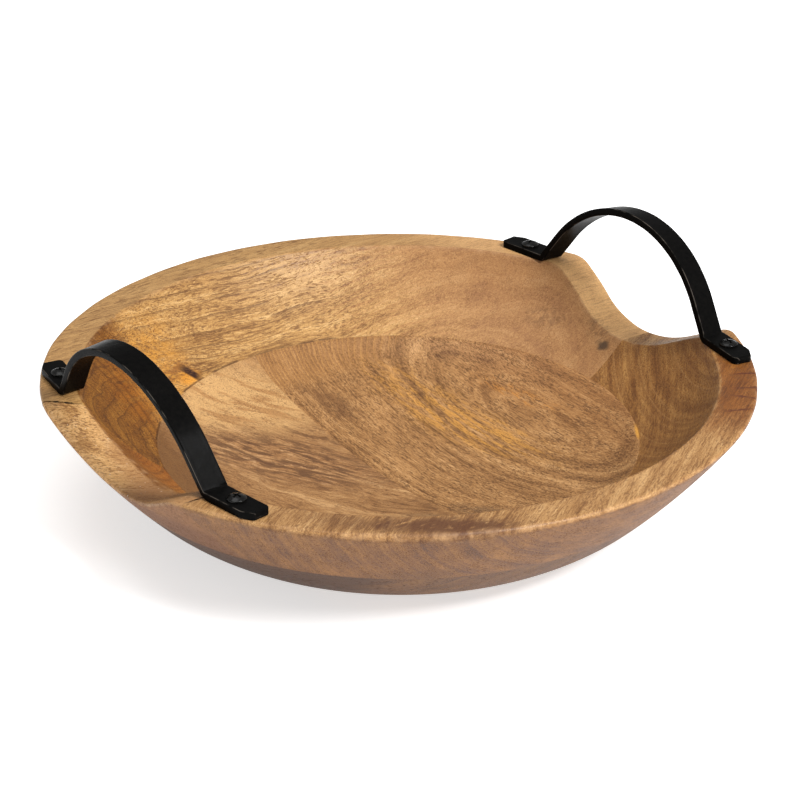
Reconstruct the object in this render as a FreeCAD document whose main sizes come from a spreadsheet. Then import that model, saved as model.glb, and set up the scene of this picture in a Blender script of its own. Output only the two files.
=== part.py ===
"""Serving bowl turned from glued boards, with two flat iron strap handles screwed to its rim.

Millimetres, +Z up, origin at the centre of the foot that the bowl stands on.  +X runs through
both handles.  A base layer of two planks and a rim layer of three blocks are glued at one level
and then turned and scooped as one piece, so each board is the common of the turned bowl and the
stock that the board was cut from.
"""
import FreeCAD, Part
import math
import os

import Sketcher
from FreeCAD import Placement, Rotation, Vector

SIZES = {
    # turned bowl
    "rim_radius": (175.8, "outer edge of the rim"),
    "rim_inner_radius": (156, "inner edge of the flat rim"),
    "bowl_height": (69.5, "foot to rim"),
    "foot_radius": (99, "flat disc that the bowl stands on"),
    "bilge_radius": (136.5, "where the lower outer arc meets the upper one"),
    "lower_outer_arc": (91.3, "radius of the section near the foot"),
    "upper_outer_arc": (341, "radius of the section near the rim"),
    "base_height": (32.5, "glue plane between the planks and the rim blocks"),
    "glue_inner_radius": (119, "radius of the hollow at the glue plane"),
    "wall_arc": (124, "section radius of the wall of the hollow"),
    "cove_arc": (70, "section radius where the floor turns up"),
    "floor_arc": (400, "section radius of the dished floor"),
    "floor_height": (11, "wood left under the middle of the floor"),
    "edge_round": (1.2, "softened edges of the rim and the scoops"),
    # scoops cut across the rim under both handles
    "scoop_depth": (20.6, "lowest point below the rim"),
    "scoop_arc": (74, "radius of the bottom"),
    "scoop_flank_angle": (27, "slope of the straight flanks, degrees"),
    "scoop_shoulder_arc": (24, "radius that runs the flanks out into the rim"),
    # glue joints between the boards
    "base_joint_x": (-8.3, "between the two base planks"),
    "right_joint_y": (-4.4, "between the front and rear rim blocks"),
    "front_left_joint_y": (-63.4, "between the front and left rim blocks"),
    "rear_left_joint_y": (10.5, "slanted joint of the left and rear blocks, at hub_reach"),
    "rear_left_joint_rise": (0.648, "its rise in y for each millimetre outward"),
    "stock_reach": (200, "half width of the stock before turning"),
    "hub_reach": (80, "a place inside the hollow, clear of the rim layer"),
    # strap handles
    "strap_width": (12.5, "flat bar"),
    "strap_thickness": (3.8, "flat bar"),
    "strap_offset": (145.8, "middle of the bar from the middle of the bowl"),
    "strap_arc": (68.5, "outer radius of the arch"),
    "strap_crown": (46.5, "top of the arch above the rim"),
    "strap_leg_angle": (54.5, "slope of the straight legs, degrees"),
    "strap_bend": (4, "radius of the bend into the foot, on the bar's middle line"),
    "strap_lean": (7.5, "outward lean of the arch, degrees"),
    "foot_length": (28.2, "bend to tip"),
    "foot_clip_along": (6, "clipped outer corner, along the foot"),
    "foot_clip_across": (3, "clipped outer corner, across the foot"),
    "foot_inner_clip": (1.5, "clipped inner corner"),
    # screws
    "screw_offset": (143.8, "from the middle of the bowl, along x"),
    "screw_reach": (79.5, "from the middle of the bowl, along y"),
    "screw_hole": (4, "diameter through the foot"),
    "screw_shank": (3.5, "diameter of the shank and of its pilot hole"),
    "screw_length": (12, "under the head"),
    "screw_point": (3, "length of the tapered point"),
    "screw_head": (9, "diameter"),
    "screw_head_rim": (0.9, "height of the straight side of the head"),
    "screw_head_height": (2.4, "top of the dome"),
    "recess_length": (4.6, "across the cross recess"),
    "recess_width": (1, "one arm of the cross recess"),
    "recess_depth": (1.2, "below the top of the dome"),
    "pilot_depth": (8.6, "hole in the rim block"),
}

SIDES = {"left": -1, "right": 1}
ENDS = {"front": -1, "rear": 1}
SCREW_TURNS = {"left_front": 20, "left_rear": 65, "right_front": -10, "right_rear": 40}
BEND_STEPS = 4

# Least volume in mm3 that each cut takes away, which shows that it points into the solid.
SCOOPS_CUT, PILOTS_CUT, RECESS_CUT = 20000, 250, 2
# Starting places of two points that the bowl's section then solves, as shares of known sizes.
BILGE_START, COVE_START = 0.31, 0.82

doc = FreeCAD.newDocument("strap_handled_bowl")


# --- sheet and sketching helpers -------------------------------------------------------------

def make_sheet():
    sheet = doc.addObject("Spreadsheet::Sheet", "sizes")
    for row, (alias, (value, note)) in enumerate(SIZES.items(), start=1):
        sheet.set(f"A{row}", alias)
        sheet.set(f"B{row}", str(value))
        sheet.set(f"C{row}", note)
        sheet.setAlias(f"B{row}", alias)
    doc.recompute()
    return sheet


def size(alias):
    return float(sizes.get(alias))


def sketch_on(body, name, role, height=None):
    """Sketch on one of the body's origin planes, lifted by a rule from the sheet."""
    sketch = body.newObject("Sketcher::SketchObject", name)
    plane = next(plane for plane in body.Origin.OriginFeatures if plane.Role == role)
    sketch.AttachmentSupport = [(plane, "")]
    sketch.MapMode = "FlatFace"
    if height:
        sketch.setExpression(".AttachmentOffset.Base.z", height)
    return sketch


def tie(sketch, kind, *ends):
    sketch.addConstraint(Sketcher.Constraint(kind, *ends))


def dimension(sketch, kind, name, rule, *ends_and_value):
    """Add a named dimension and drive it from the sheet."""
    index = sketch.addConstraint(Sketcher.Constraint(kind, *ends_and_value))
    sketch.renameConstraint(index, name)
    sketch.setExpression(f"Constraints.{name}", rule)


def at_x(sketch, name, rule, curve, end):
    here = sketch.getPoint(curve, end).x
    dimension(sketch, "DistanceX", name, rule, -1, 1, curve, end, here)


def at_y(sketch, name, rule, curve, end):
    here = sketch.getPoint(curve, end).y
    dimension(sketch, "DistanceY", name, rule, -1, 1, curve, end, here)


def radius(sketch, name, rule, curve):
    dimension(sketch, "Radius", name, rule, curve, sketch.Geometry[curve].Radius)


def segment(start, end):
    return Part.LineSegment(Vector(*start, 0), Vector(*end, 0))


def arc_between(start, end, arc_radius):
    """Counterclockwise arc from start to end, shorter than half a turn."""
    start, end = Vector(*start, 0), Vector(*end, 0)
    chord = end - start
    to_left = Vector(-chord.y, chord.x, 0).normalize()
    centre = (start + end) / 2 + to_left * math.sqrt(arc_radius ** 2 - (chord.Length / 2) ** 2)
    angles = [math.atan2(point.y - centre.y, point.x - centre.x) for point in (start, end)]
    return Part.ArcOfCircle(Part.Circle(centre, Vector(0, 0, 1), arc_radius), *angles)


def outline(sketch, corners):
    """Closed polygon.  Each corner is (x, y, rule for x, rule for y)."""
    count = len(corners)
    for index in range(count):
        sketch.addGeometry(segment(corners[index][:2], corners[(index + 1) % count][:2]), False)
    for index, (_, _, x_rule, y_rule) in enumerate(corners):
        tie(sketch, "Coincident", index - 1 if index else count - 1, 2, index, 1)
        at_x(sketch, f"corner_{index}_x", x_rule, index, 1)
        at_y(sketch, f"corner_{index}_y", y_rule, index, 1)


def revolve(body, sketch, name):
    turning = body.newObject("PartDesign::Revolution", name)
    turning.Profile = sketch
    turning.ReferenceAxis = (sketch, ["V_Axis"])
    turning.Angle = 360
    sketch.Visibility = False
    return turning


def pocket(body, sketch, name, length_rule, both_ways=False):
    cut = body.newObject("PartDesign::Pocket", name)
    cut.Profile = sketch
    if both_ways:
        cut.SideType = "Symmetric"
    cut.setExpression("Length", length_rule)
    sketch.Visibility = False
    return cut


def recompute_and_compare(feature, base, removed):
    """A pocket that points away from the solid cuts nothing and shows no error."""
    doc.recompute()
    assert base.Shape.Volume - feature.Shape.Volume > removed, feature.Name


# --- turned bowl -----------------------------------------------------------------------------

def bowl_section(body):
    """Half section: foot, two outer arcs, rim, wall, cove, dished floor and the axis."""
    sketch = sketch_on(body, "bowl_section", "XZ_Plane")
    height = size("bowl_height")
    foot = (size("foot_radius"), 0)
    bilge = (size("bilge_radius"), BILGE_START * height)
    rim_outer = (size("rim_radius"), height)
    rim_inner = (size("rim_inner_radius"), height)
    wall_foot = (size("glue_inner_radius"), size("base_height"))
    floor_middle = (0, size("floor_height"))
    cove_x = COVE_START * size("glue_inner_radius")
    cove_rise = size("floor_arc") - math.sqrt(size("floor_arc") ** 2 - cove_x ** 2)
    cove_foot = (cove_x, size("floor_height") + cove_rise)

    base, lower, upper, rim, wall, cove, floor, axis = range(8)
    sketch.addGeometry([
        segment((0, 0), foot),
        arc_between(foot, bilge, size("lower_outer_arc")),
        arc_between(bilge, rim_outer, size("upper_outer_arc")),
        segment(rim_outer, rim_inner),
        arc_between(wall_foot, rim_inner, size("wall_arc")),
        arc_between(cove_foot, wall_foot, size("cove_arc")),
        arc_between(floor_middle, cove_foot, size("floor_arc")),
        segment(floor_middle, (0, 0)),
    ], False)
    for ends in ((base, 2, lower, 1), (upper, 2, rim, 1), (rim, 2, wall, 2), (wall, 1, cove, 2),
                 (floor, 1, axis, 1), (axis, 2, base, 1), (base, 1, -1, 1)):
        tie(sketch, "Coincident", *ends)
    tie(sketch, "Tangent", lower, 2, upper, 1)
    tie(sketch, "Tangent", floor, 2, cove, 1)
    tie(sketch, "Horizontal", base)
    tie(sketch, "Horizontal", rim)
    tie(sketch, "Vertical", axis)
    tie(sketch, "PointOnObject", floor, 3, -2)
    at_x(sketch, "foot", "sizes.foot_radius", base, 2)
    at_x(sketch, "bilge", "sizes.bilge_radius", lower, 2)
    at_x(sketch, "rim_outer", "sizes.rim_radius", rim, 1)
    at_y(sketch, "rim_level", "sizes.bowl_height", rim, 1)
    at_x(sketch, "rim_inner", "sizes.rim_inner_radius", rim, 2)
    at_x(sketch, "wall_foot", "sizes.glue_inner_radius", wall, 1)
    at_y(sketch, "glue_level", "sizes.base_height", wall, 1)
    at_y(sketch, "floor_level", "sizes.floor_height", floor, 1)
    for curve, alias in ((lower, "lower_outer_arc"), (upper, "upper_outer_arc"),
                         (wall, "wall_arc"), (cove, "cove_arc"), (floor, "floor_arc")):
        radius(sketch, alias, f"sizes.{alias}", curve)
    return sketch


def scoop_section(body):
    """Section of the scoops: round bottom, straight flanks, shoulders tangent to the rim."""
    sketch = sketch_on(body, "scoop_section", "YZ_Plane")
    slope = math.radians(size("scoop_flank_angle"))
    rim, depth = size("bowl_height"), size("scoop_depth")
    bottom_radius, shoulder_radius = size("scoop_arc"), size("scoop_shoulder_arc")
    flank_foot = (bottom_radius * math.sin(slope),
                  rim - depth + bottom_radius * (1 - math.cos(slope)))
    flank_top_z = rim - shoulder_radius * (1 - math.cos(slope))
    flank_top = (flank_foot[0] + (flank_top_z - flank_foot[1]) / math.tan(slope), flank_top_z)
    shoulder = (flank_top[0] + shoulder_radius * math.sin(slope), rim)
    lid = (shoulder[0], rim + depth)

    def mirrored(point):
        return (-point[0], point[1])

    bottom, top = 0, 7
    sketch.addGeometry([
        arc_between(mirrored(flank_foot), flank_foot, bottom_radius),
        segment(flank_foot, flank_top),
        arc_between(shoulder, flank_top, shoulder_radius),
        segment(shoulder, lid),
        segment(mirrored(flank_foot), mirrored(flank_top)),
        arc_between(mirrored(flank_top), mirrored(shoulder), shoulder_radius),
        segment(mirrored(shoulder), mirrored(lid)),
        segment(lid, mirrored(lid)),
    ], False)
    tie(sketch, "PointOnObject", bottom, 3, -2)
    radius(sketch, "bottom_arc", "sizes.scoop_arc", bottom)
    at_y(sketch, "bottom_centre", "sizes.bowl_height - sizes.scoop_depth + sizes.scoop_arc",
         bottom, 3)
    slope_rule = "sizes.scoop_flank_angle * 1 deg"
    for side, flank, arc, wall, low_end, high_end, angle, rule in (
            ("right", 1, 2, 3, 2, 1, slope, slope_rule),
            ("left", 4, 5, 6, 1, 2, math.pi - slope, f"180 deg - {slope_rule}")):
        tie(sketch, "Tangent", bottom, low_end, flank, 1)
        tie(sketch, "Tangent", flank, 2, arc, low_end)
        tie(sketch, "Coincident", arc, high_end, wall, 1)
        tie(sketch, "Vertical", arc, 3, arc, high_end)
        tie(sketch, "Vertical", wall)
        tie(sketch, "Coincident", wall, 2, top, high_end)
        radius(sketch, f"{side}_shoulder", "sizes.scoop_shoulder_arc", arc)
        at_y(sketch, f"{side}_shoulder_top", "sizes.bowl_height", arc, high_end)
        dimension(sketch, "Angle", f"{side}_flank", rule, flank, angle)
    tie(sketch, "Horizontal", top)
    at_y(sketch, "lid", "sizes.bowl_height + sizes.scoop_depth", top, 1)
    return sketch


def rim_edges(shape):
    """Edges where the rim or a scoop meets the outside or the wall of the hollow."""
    slack = 0.01
    lowest = size("bowl_height") - size("scoop_depth") - slack
    return [f"Edge{number}" for number, edge in enumerate(shape.Edges, start=1)
            if edge.BoundBox.ZMin > lowest and not isinstance(edge.Curve, Part.Line)]


def make_turned_bowl():
    body = doc.addObject("PartDesign::Body", "turned_bowl")
    turning = revolve(body, bowl_section(body), "turning")
    doc.recompute()

    scoops = pocket(body, scoop_section(body), "scoops", "2 * sizes.rim_radius", both_ways=True)
    recompute_and_compare(scoops, turning, SCOOPS_CUT)

    rounding = body.newObject("PartDesign::Fillet", "rim_rounding")
    rounding.Base = (scoops, rim_edges(scoops.Shape))
    rounding.setExpression("Radius", "sizes.edge_round")
    doc.recompute()

    holes = sketch_on(body, "pilot_positions", "XY_Plane", "sizes.bowl_height")
    for number, (side, end) in enumerate((side, end) for side in SIDES for end in ENDS):
        place = Vector(SIDES[side] * size("screw_offset"), ENDS[end] * size("screw_reach"), 0)
        holes.addGeometry(Part.Circle(place, Vector(0, 0, 1), size("screw_shank") / 2), False)
        at_x(holes, f"{side}_{end}_x", f"{SIDES[side]} * sizes.screw_offset", number, 3)
        at_y(holes, f"{side}_{end}_y", f"{ENDS[end]} * sizes.screw_reach", number, 3)
        radius(holes, f"{side}_{end}_radius", "sizes.screw_shank / 2", number)
    pilots = pocket(body, holes, "pilot_holes", "sizes.pilot_depth")
    recompute_and_compare(pilots, rounding, PILOTS_CUT)
    return body


# --- boards ----------------------------------------------------------------------------------

def plank_stock(name, x_rule, length_rule):
    """Stock of a base plank, from the foot to the glue plane."""
    stock = doc.addObject("Part::Box", name)
    stock.setExpression("Placement.Base.x", x_rule)
    stock.setExpression("Placement.Base.y", "-sizes.stock_reach")
    stock.setExpression("Length", length_rule)
    stock.setExpression("Width", "2 * sizes.stock_reach")
    stock.setExpression("Height", "sizes.base_height")
    return stock


def block_stock(name, corners):
    """Stock of a rim block, from the glue plane past the rim."""
    plan = doc.addObject("Sketcher::SketchObject", f"{name}_plan")
    plan.setExpression("Placement.Base.z", "sizes.base_height")
    outline(plan, corners)
    stock = doc.addObject("Part::Extrusion", name)
    stock.Base = plan
    stock.DirMode = "Custom"
    stock.Dir = Vector(0, 0, 1)
    stock.Solid = True
    stock.setExpression("LengthFwd", "sizes.bowl_height")
    return stock


def make_stocks():
    reach, hub = size("stock_reach"), size("hub_reach")
    rear_left_y = size("rear_left_joint_y")
    rear_left_rise = (reach - hub) * size("rear_left_joint_rise")
    rear_left_out = (-reach, rear_left_y + rear_left_rise, "-sizes.stock_reach",
                     "sizes.rear_left_joint_y + (sizes.stock_reach - sizes.hub_reach)"
                     " * sizes.rear_left_joint_rise")
    rear_left_in = (-hub, rear_left_y, "-sizes.hub_reach", "sizes.rear_left_joint_y")
    front_left_y = size("front_left_joint_y")
    front_left_out = (-reach, front_left_y, "-sizes.stock_reach", "sizes.front_left_joint_y")
    front_left_in = (-hub, front_left_y, "-sizes.hub_reach", "sizes.front_left_joint_y")
    right_y = size("right_joint_y")
    right_in = (hub, right_y, "sizes.hub_reach", "sizes.right_joint_y")
    right_out = (reach, right_y, "sizes.stock_reach", "sizes.right_joint_y")

    def far_corner(x_sign, y_sign):
        return (x_sign * reach, y_sign * reach, f"{x_sign} * sizes.stock_reach",
                f"{y_sign} * sizes.stock_reach")

    return {
        "base_plank_left": plank_stock("left_plank_stock", "-sizes.stock_reach",
                                       "sizes.stock_reach + sizes.base_joint_x"),
        "base_plank_right": plank_stock("right_plank_stock", "sizes.base_joint_x",
                                        "sizes.stock_reach - sizes.base_joint_x"),
        "rim_block_rear": block_stock("rear_block_stock", [
            rear_left_out, rear_left_in, right_in, right_out, far_corner(1, 1),
            far_corner(-1, 1)]),
        "rim_block_front": block_stock("front_block_stock", [
            front_left_out, far_corner(-1, -1), far_corner(1, -1), right_out, right_in,
            front_left_in]),
        "rim_block_left": block_stock("left_block_stock", [
            rear_left_out, front_left_out, front_left_in, rear_left_in]),
    }


def make_board(name, turned, stock):
    board = doc.addObject("Part::Common", name)
    board.Base = turned
    board.Tool = stock
    return board


# --- strap handles ---------------------------------------------------------------------------

def lean_point(y, z):
    """Point of the bar's middle line, in the arch's leaning plane."""
    above = z - size("strap_thickness") / 2
    lean = math.radians(size("strap_lean"))
    return Vector(above * math.sin(lean), y, z - above * (1 - math.cos(lean)))


def bar_section(middle, across, outward):
    """Rectangle of the flat bar, square to its middle line."""
    across = across * (size("strap_width") / 2)
    outward = outward * (size("strap_thickness") / 2)
    corners = [middle - across - outward, middle + across - outward,
               middle + across + outward, middle - across + outward]
    return Part.makePolygon(corners + corners[:1])


def arch_and_legs(leg_foot):
    """The planar part of the bar: two straight legs and the round arch between them."""
    thickness, arc = size("strap_thickness"), size("strap_arc")
    slope = math.radians(size("strap_leg_angle"))
    middle_z = size("strap_crown") - arc
    outward = Vector(0, math.sin(slope), math.cos(slope))
    foot = Vector(0, *leg_foot)

    def mirrored(point):
        return Vector(point.x, -point.y, point.z)

    edges = []
    rims = []
    for offset in (thickness / 2, -thickness / 2):
        arch_radius = arc - thickness / 2 + offset
        crown = Vector(0, 0, middle_z + arch_radius)
        leg_low = foot + outward * offset
        leg_high = Vector(0, 0, middle_z) + outward * arch_radius
        edges += [Part.makeLine(leg_low, leg_high),
                  Part.Arc(leg_high, crown, mirrored(leg_high)).toShape(),
                  Part.makeLine(mirrored(leg_high), mirrored(leg_low))]
        rims.append(leg_low)
    edges += [Part.makeLine(*rims), Part.makeLine(*[mirrored(point) for point in rims])]
    side = Part.Face(Part.Wire(Part.__sortEdges__(edges)))
    bar = side.extrude(Vector(size("strap_width"), 0, 0))
    bar.translate(Vector(-size("strap_width") / 2, 0, 0))
    bar.rotate(Vector(0, 0, thickness / 2), Vector(0, 1, 0), size("strap_lean"))
    return bar


def foot_and_bend(end, bend_start_y, turn):
    """The foot, flat on the rim and turned in plan, and the bend that takes it up to the leg."""
    thickness, width = size("strap_thickness"), size("strap_width")
    bend = size("strap_bend")
    slope, lean = math.radians(size("strap_leg_angle")), math.radians(size("strap_lean"))
    along = Vector(-math.sin(turn), end * math.cos(turn), 0)
    across_foot = Vector(math.cos(turn), end * math.sin(turn), 0)
    across_leg = Vector(math.cos(lean), 0, -math.sin(lean))

    sections = []
    for step in range(BEND_STEPS + 1):
        share = step / BEND_STEPS
        angle = share * slope
        middle = lean_point(end * (bend_start_y - bend * math.sin(angle)),
                            thickness / 2 + bend * (1 - math.cos(angle)))
        eased = share * share * (3 - 2 * share)
        across = (across_foot * (1 - eased) + across_leg * eased).normalize()
        tilt = eased * lean
        outward = Vector(math.cos(angle) * math.sin(tilt), end * math.sin(angle),
                         math.cos(angle) * math.cos(tilt))
        outward = (outward - across * outward.dot(across)).normalize()
        sections.append(bar_section(middle, across, outward))
    bend_solid = Part.makeLoft(sections, True, False)

    length, half = size("foot_length"), width / 2
    clip_along, clip_across = size("foot_clip_along"), size("foot_clip_across")
    clip = size("foot_inner_clip")
    plan = [(0, -half), (length - clip, -half), (length, clip - half),
            (length, half - clip_across), (length - clip_along, half), (0, half)]
    start = Vector(0, end * bend_start_y, 0)
    corners = [start + along * u + across_foot * v for u, v in plan]
    foot_plate = Part.Face(Part.makePolygon(corners + corners[:1])).extrude(
        Vector(0, 0, thickness))
    return [bend_solid, foot_plate]


def strap_shape():
    """Handle in its own frame: origin on the rim, midway between the feet, +X outward."""
    thickness, bend = size("strap_thickness"), size("strap_bend")
    slope = math.radians(size("strap_leg_angle"))
    middle_arc = size("strap_arc") - thickness / 2
    arch_end_y = middle_arc * math.sin(slope)
    arch_end_z = size("strap_crown") - size("strap_arc") + middle_arc * math.cos(slope)
    corner_y = arch_end_y + (arch_end_z - thickness / 2) / math.tan(slope)
    bend_start_y = corner_y + bend * math.tan(slope / 2)
    leg_foot = (bend_start_y - bend * math.sin(slope),
                thickness / 2 + bend * (1 - math.cos(slope)))
    inset = size("strap_offset") - size("screw_offset")
    turn = math.atan2(inset, size("screw_reach") - bend_start_y)

    bar = arch_and_legs(leg_foot)
    pieces = [piece for end in ENDS.values() for piece in foot_and_bend(end, bend_start_y, turn)]
    bar = bar.fuse(pieces).removeSplitter()
    for end in ENDS.values():
        middle = Vector(-inset, end * size("screw_reach"), 0)
        bar = bar.cut(Part.makeCylinder(size("screw_hole") / 2, thickness, middle))
    return bar.Solids[0]


def make_strap(side):
    strap = doc.addObject("Part::Feature", f"strap_handle_{side}")
    strap.Shape = strap_shape()
    place = Vector(SIDES[side] * size("strap_offset"), 0, size("bowl_height"))
    strap.Placement = Placement(place, Rotation(Vector(0, 0, 1), 0 if side == "right" else 180))
    return strap


# --- screws ----------------------------------------------------------------------------------

def screw_section(body):
    """Half section: point, shank, underside, head rim, dome and the axis."""
    sketch = sketch_on(body, "screw_section", "XZ_Plane")
    head, shank = size("screw_head") / 2, size("screw_shank") / 2
    tip = (0, -size("screw_length"))
    shoulder = (shank, size("screw_point") - size("screw_length"))
    neck, underside = (shank, 0), (head, 0)
    rim, top = (head, size("screw_head_rim")), (0, size("screw_head_height"))
    dome_rise = top[1] - rim[1]
    dome_radius = (head ** 2 + dome_rise ** 2) / (2 * dome_rise)

    point_side, shank_side, seat, rim_side, dome, axis = range(6)
    sketch.addGeometry([segment(tip, shoulder), segment(shoulder, neck), segment(neck, underside),
                        segment(underside, rim), arc_between(rim, top, dome_radius),
                        segment(top, tip)], False)
    for curve in range(6):
        tie(sketch, "Coincident", curve, 2, (curve + 1) % 6, 1)
    tie(sketch, "PointOnObject", point_side, 1, -2)
    tie(sketch, "PointOnObject", dome, 3, -2)
    tie(sketch, "Vertical", shank_side)
    tie(sketch, "Vertical", rim_side)
    tie(sketch, "Vertical", axis)
    tie(sketch, "PointOnObject", seat, 1, -1)
    tie(sketch, "PointOnObject", seat, 2, -1)
    at_y(sketch, "tip", "-sizes.screw_length", point_side, 1)
    at_y(sketch, "taper", "sizes.screw_point - sizes.screw_length", point_side, 2)
    at_x(sketch, "shank", "sizes.screw_shank / 2", seat, 1)
    at_x(sketch, "head", "sizes.screw_head / 2", seat, 2)
    at_y(sketch, "rim", "sizes.screw_head_rim", rim_side, 2)
    at_y(sketch, "top", "sizes.screw_head_height", dome, 2)
    return sketch


def make_screw(side, end):
    name = f"screw_{side}_{end}"
    body = doc.addObject("PartDesign::Body", name)
    turning = revolve(body, screw_section(body), f"{name}_turning")
    doc.recompute()

    slot = sketch_on(body, f"{name}_slot", "XY_Plane", "sizes.screw_head_height")
    x, y = size("recess_length") / 2, size("recess_width") / 2
    outline(slot, [(sx * x, sy * y, f"{sx} * sizes.recess_length / 2",
                    f"{sy} * sizes.recess_width / 2")
                   for sx, sy in ((-1, -1), (1, -1), (1, 1), (-1, 1))])
    recess = pocket(body, slot, f"{name}_recess", "sizes.recess_depth")
    recompute_and_compare(recess, turning, RECESS_CUT)
    cross = body.newObject("PartDesign::PolarPattern", f"{name}_cross")
    cross.Originals = [recess]
    cross.Axis = (slot, ["N_Axis"])
    cross.Angle = 90
    cross.Occurrences = 2
    body.Tip = cross

    body.Placement.Rotation = Rotation(Vector(0, 0, 1), SCREW_TURNS[f"{side}_{end}"])
    body.setExpression("Placement.Base.x", f"{SIDES[side]} * sizes.screw_offset")
    body.setExpression("Placement.Base.y", f"{ENDS[end]} * sizes.screw_reach")
    body.setExpression("Placement.Base.z", "sizes.bowl_height + sizes.strap_thickness")
    return body


# --- assembly and files ----------------------------------------------------------------------

def check(objects, subparts):
    failed = [item.Name for item in objects if {"Invalid", "Error"} & set(item.State)]
    failed += [item.Label for item in subparts
               if item.Shape.isNull() or not item.Shape.isValid() or len(item.Shape.Solids) != 1]
    if failed:
        raise RuntimeError(f"failed objects: {failed}")


def write_files(subparts):
    os.makedirs("parts", exist_ok=True)
    for item in subparts:
        item.Shape.exportStep(f"parts/{item.Label}.step")
        print(f"{item.Label:20s} {item.Shape.Volume / 1000:9.2f} cm3")


sizes = make_sheet()
turned_bowl = make_turned_bowl()
boards = [make_board(name, turned_bowl, stock) for name, stock in make_stocks().items()]
straps = [make_strap(side) for side in SIDES]
screws = [make_screw(side, end) for side in SIDES for end in ENDS]
doc.recompute()
check(doc.Objects, boards + straps + screws)
write_files(boards + straps + screws)
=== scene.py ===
"""Looks of the strap-handled serving bowl, built around its CAD frame.

Lengths are millimetres until a mesh is made, in the frame of the CAD part: +Z up, origin at the
centre of the foot, +X through both handles.  Plan angles run from +X towards +Y.
"""

import math

import bpy
import numpy as np
from mathutils import Matrix, Vector, noise


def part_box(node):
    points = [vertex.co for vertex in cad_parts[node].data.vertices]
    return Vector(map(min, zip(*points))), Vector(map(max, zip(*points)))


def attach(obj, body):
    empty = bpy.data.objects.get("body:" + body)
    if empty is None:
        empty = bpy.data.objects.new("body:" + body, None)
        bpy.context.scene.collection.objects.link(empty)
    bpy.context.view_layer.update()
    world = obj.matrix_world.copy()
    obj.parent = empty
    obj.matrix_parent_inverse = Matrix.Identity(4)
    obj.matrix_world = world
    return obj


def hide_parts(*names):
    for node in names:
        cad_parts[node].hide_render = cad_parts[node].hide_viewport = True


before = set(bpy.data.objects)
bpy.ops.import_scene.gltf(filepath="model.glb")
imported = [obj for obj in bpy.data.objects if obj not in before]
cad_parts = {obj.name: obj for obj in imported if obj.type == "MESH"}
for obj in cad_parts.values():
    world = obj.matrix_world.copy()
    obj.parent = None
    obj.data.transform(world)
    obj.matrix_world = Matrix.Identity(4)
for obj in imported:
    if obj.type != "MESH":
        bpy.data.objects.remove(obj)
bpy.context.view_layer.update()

MM = 0.001
BODY = "root"


def low(node):
    return np.array(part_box(node)[0]) / MM


def high(node):
    return np.array(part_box(node)[1]) / MM


# --- sizes of the turned bowl, in millimetres ------------------------------------------------

RIM_Z = high("rim_block_rear")[2]
GLUE_Z = high("base_plank_left")[2]
RIM_RADIUS = 175.8
RIM_INNER_RADIUS = 156.0
FOOT_RADIUS = 99.0
BILGE = (136.5, 22.568)
LOWER_OUTER_ARC = 91.3
UPPER_OUTER_ARC = 341.0
GLUE_INNER_RADIUS = 119.0
WALL_ARC = 124.0
COVE_FOOT = (97.598, 23.09)
COVE_ARC = 70.0
FLOOR_ARC = 400.0
FLOOR_Z = 11.0
FOOT_ROUND = 1.0

SCOOP_DEPTH = 20.6
SCOOP_ARC = 74.0
SCOOP_SLOPE = math.radians(27)
SCOOP_SHOULDER = 24.0

# Joint lines in plan: a point inside the hollow and the direction outward.
BASE_JOINT_X = low("base_plank_right")[0]
RIGHT_JOINT = (np.array([80, high("rim_block_front")[1]]), np.array([1.0, 0]))
FRONT_LEFT_JOINT = (np.array([-80, low("rim_block_left")[1]]), np.array([-1.0, 0]))
REAR_LEFT_JOINT = (np.array([-80, 10.5]), np.array([-1, 0.648]) / math.hypot(1, 0.648))

# --- sizes of the handles and screws, in millimetres -----------------------------------------

STRAP_WIDTH = 12.5
STRAP_THICKNESS = 3.8
STRAP_OFFSET = 145.8
STRAP_ARC = 68.5
STRAP_CROWN = 46.5
STRAP_SLOPE = math.radians(54.5)
STRAP_BEND = 4.0
STRAP_LEAN = math.radians(7.5)
STRAP_CORNER = 0.55
FOOT_LENGTH = 28.2
FOOT_CLIP_ALONG = 6.0
FOOT_CLIP_ACROSS = 3.0
FOOT_INNER_CLIP = 1.5

HEAD_RADIUS = 4.5
HEAD_RIM = 0.9
HEAD_HEIGHT = 2.4
SHANK_RADIUS = 1.75
SHANK_LENGTH = 12.0
SHANK_POINT = 3.0
THREAD_PITCH = 1.3
THREAD_DEPTH = 0.35
RECESS_REACH = 2.3
RECESS_HALF = 0.5
RECESS_DEPTH = 1.2
RECESS_SOFT = 0.16
HEAD_ROUND = 0.35
THREAD_STEP = 0.16
SCREW_TURNS = {"left_front": 20, "left_rear": 65, "right_front": -10, "right_rear": 40}

ARC_POINTS = 200
ROUND_STEPS = np.radians([0, 22, 45, 68, 90])


# --- meshes ----------------------------------------------------------------------------------

def make_piece(node, points, faces, material, marks, crease=40):
    """Object for a CAD node from points in millimetres; the material reads the marks per point."""
    name = node + "_looks"
    mesh = bpy.data.meshes.new(name)
    mesh.from_pydata([tuple(point) for point in np.asarray(points) * MM], [], faces)
    mesh.update()
    for mark, values in marks.items():
        layer = mesh.attributes.new(mark, "FLOAT", "POINT")
        layer.data.foreach_set("value", np.asarray(values, np.float32))
    mesh.shade_smooth()
    mesh.set_sharp_from_angle(angle=math.radians(crease))
    mesh.materials.append(material)
    piece = bpy.data.objects.new(name, mesh)
    bpy.context.scene.collection.objects.link(piece)
    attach(piece, BODY)
    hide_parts(node)


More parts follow.
